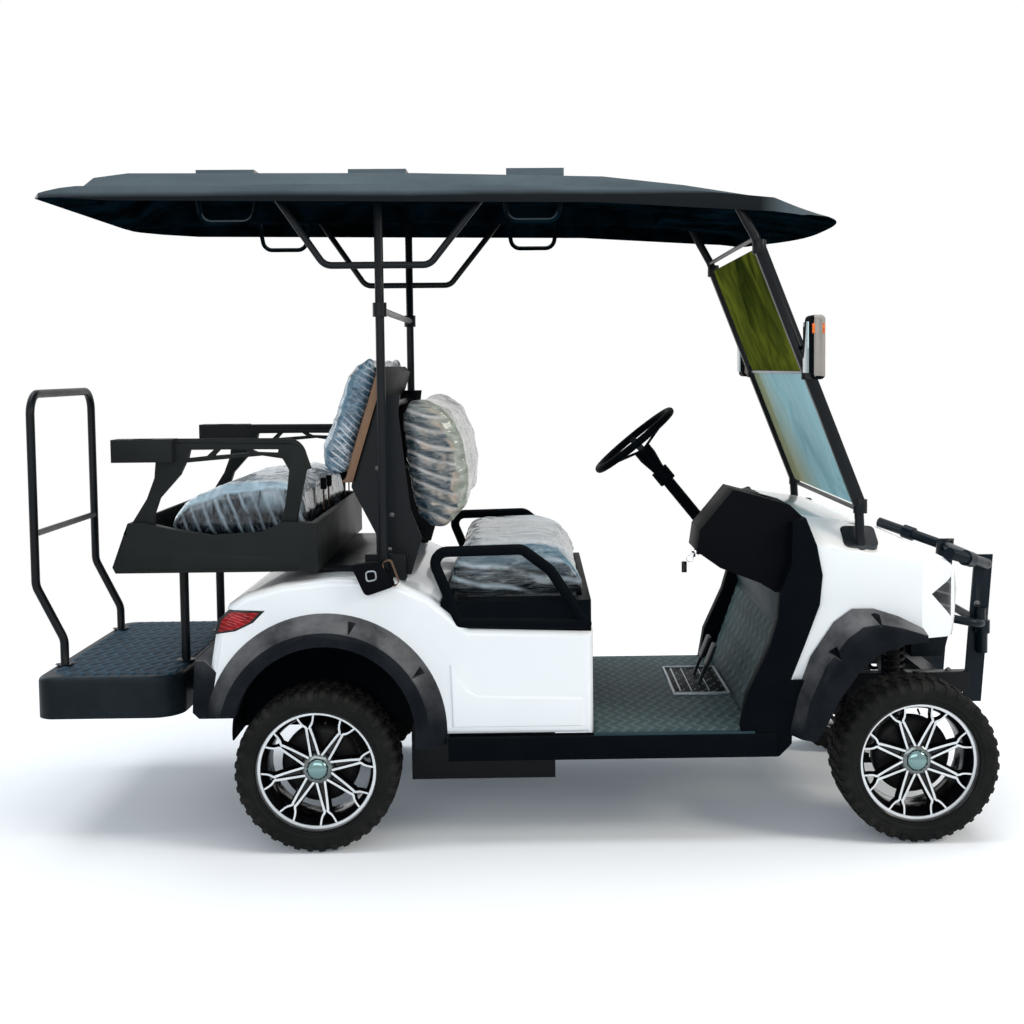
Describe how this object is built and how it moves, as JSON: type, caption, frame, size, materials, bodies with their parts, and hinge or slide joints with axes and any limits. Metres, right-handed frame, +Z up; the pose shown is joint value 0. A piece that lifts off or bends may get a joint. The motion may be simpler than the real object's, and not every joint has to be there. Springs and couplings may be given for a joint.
{
  "type": "golf cart",
  "caption": "Raised electric golf cart with front and rear-facing benches, a long canopy, folding windscreen, footrest deck with grab bar, and all-terrain tyres.",
  "frame": {"origin": "on the ground under the middle of the overall box", "axes": "+X forward, +Y to the left of the driver, +Z up"},
  "size_m": [3.243, 1.45, 2.1789],
  "materials": {
    "frame_black": "satin",
    "body_white": "gloss",
    "black_plastic": "fine texture",
    "canopy_plastic": "gloss",
    "seat_vinyl": "satin",
    "seat_board": "satin",
    "tinted_glass": "clear",
    "tyre": "matt",
    "rim": "gloss with machined edges",
    "axle_steel": "satin",
    "pedal_steel": "brushed",
    "lamp_dark": "gloss",
    "lamp_red": "gloss",
    "battery_case": "satin"
  },
  "bodies": {
    "cart": {"chassis": "frame_black", "battery_tray": "frame_black", "battery": "battery_case", "front_axle": "axle_steel", "rear_axle": "axle_steel", "springs": "axle_steel", "sills": "black_plastic", "floor_pan": "black_plastic", "dash": "black_plastic", "leg_shields": "black_plastic", "rear_body": "body_white", "wheel_liners": "black_plastic", "cowl": "body_white", "flares": "black_plastic", "front_guard": "frame_black", "front_bumper": "black_plastic", "rear_bumper": "black_plastic", "headlamps": "lamp_dark", "tail_lamps": "lamp_red", "seat_surround": "black_plastic", "front_backrest": "seat_vinyl", "rear_backrest": "seat_vinyl", "backrest_board": "seat_board", "rear_seat_box": "black_plastic", "backrest_frame": "frame_black", "armrests": "black_plastic", "footrest_deck": "black_plastic", "seat_posts": "frame_black", "grab_bar": "frame_black", "canopy": "canopy_plastic", "canopy_rear_frame": "frame_black", "windshield_frame": "frame_black", "windshield_glass": "tinted_glass", "mirrors": "black_plastic", "steering_column": "black_plastic", "pedals": "pedal_steel"},
    "front_seat": {"front_cushion": "seat_vinyl"},
    "rear_seat": {"rear_cushion": "seat_vinyl"},
    "steering_wheel": {"steering_wheel": "black_plastic"},
    "tie_rod": {"tie_rod": "axle_steel"},
    "knuckle_right": {"knuckle_right": "axle_steel"},
    "knuckle_left": {"knuckle_left": "axle_steel"},
    "front_wheel_right": {"front_tyre_right": "tyre", "front_rim_right": "rim"},
    "front_wheel_left": {"front_tyre_left": "tyre", "front_rim_left": "rim"},
    "rear_wheel_right": {"rear_tyre_right": "tyre", "rear_rim_right": "rim"},
    "rear_wheel_left": {"rear_tyre_left": "tyre", "rear_rim_left": "rim"}
  },
  "joints": [
    {"name": "steer_right", "type": "hinge", "parent": "cart", "child": "knuckle_right", "pos_m": [1.2645, -0.38, 0.26], "axis": [0, 0, 1], "range_deg": [-30, 30]},
    {"name": "steer_left", "type": "hinge", "parent": "cart", "child": "knuckle_left", "pos_m": [1.2645, 0.38, 0.26], "axis": [0, 0, 1], "range_deg": [-30, 30]},
    {"name": "tie_rod_swing", "type": "hinge", "parent": "knuckle_right", "child": "tie_rod", "pos_m": [1.1445, -0.38, 0.22], "axis": [0, 0, 1], "range_deg": [-30, 30]},
    {"name": "steering_wheel_turn", "type": "hinge", "parent": "cart", "child": "steering_wheel", "pos_m": [0.4295, 0.28, 1.248], "axis": [0.6293, 0, -0.7771], "range_deg": [-450, 450]},
    {"name": "front_seat_tip", "type": "hinge", "parent": "cart", "child": "front_seat", "pos_m": [0.2265, 0, 0.788], "axis": [0, 1, 0], "range_deg": [0, 60]},
    {"name": "rear_seat_lift", "type": "hinge", "parent": "cart", "child": "rear_seat", "pos_m": [-1.1375, 0, 0.99], "axis": [0, -1, 0], "range_deg": [0, 50]},
    {"name": "front_right_wheel_roll", "type": "hinge", "parent": "knuckle_right", "child": "front_wheel_right", "pos_m": [1.2645, -0.5125, 0.26], "axis": [0, 1, 0], "continuous": true},
    {"name": "front_left_wheel_roll", "type": "hinge", "parent": "knuckle_left", "child": "front_wheel_left", "pos_m": [1.2645, 0.5125, 0.26], "axis": [0, 1, 0], "continuous": true},
    {"name": "rear_right_wheel_roll", "type": "hinge", "parent": "cart", "child": "rear_wheel_right", "pos_m": [-0.6455, -0.5125, 0.26], "axis": [0, 1, 0], "continuous": true},
    {"name": "rear_left_wheel_roll", "type": "hinge", "parent": "cart", "child": "rear_wheel_left", "pos_m": [-0.6455, 0.5125, 0.26], "axis": [0, 1, 0], "continuous": true}
  ],
  "couplings": [
    {"joint": "steer_left", "follows": "steer_right", "ratio": 1},
    {"joint": "tie_rod_swing", "follows": "steer_right", "ratio": -1},
    {"joint": "steering_wheel_turn", "follows": "steer_right", "ratio": -15}
  ]
}
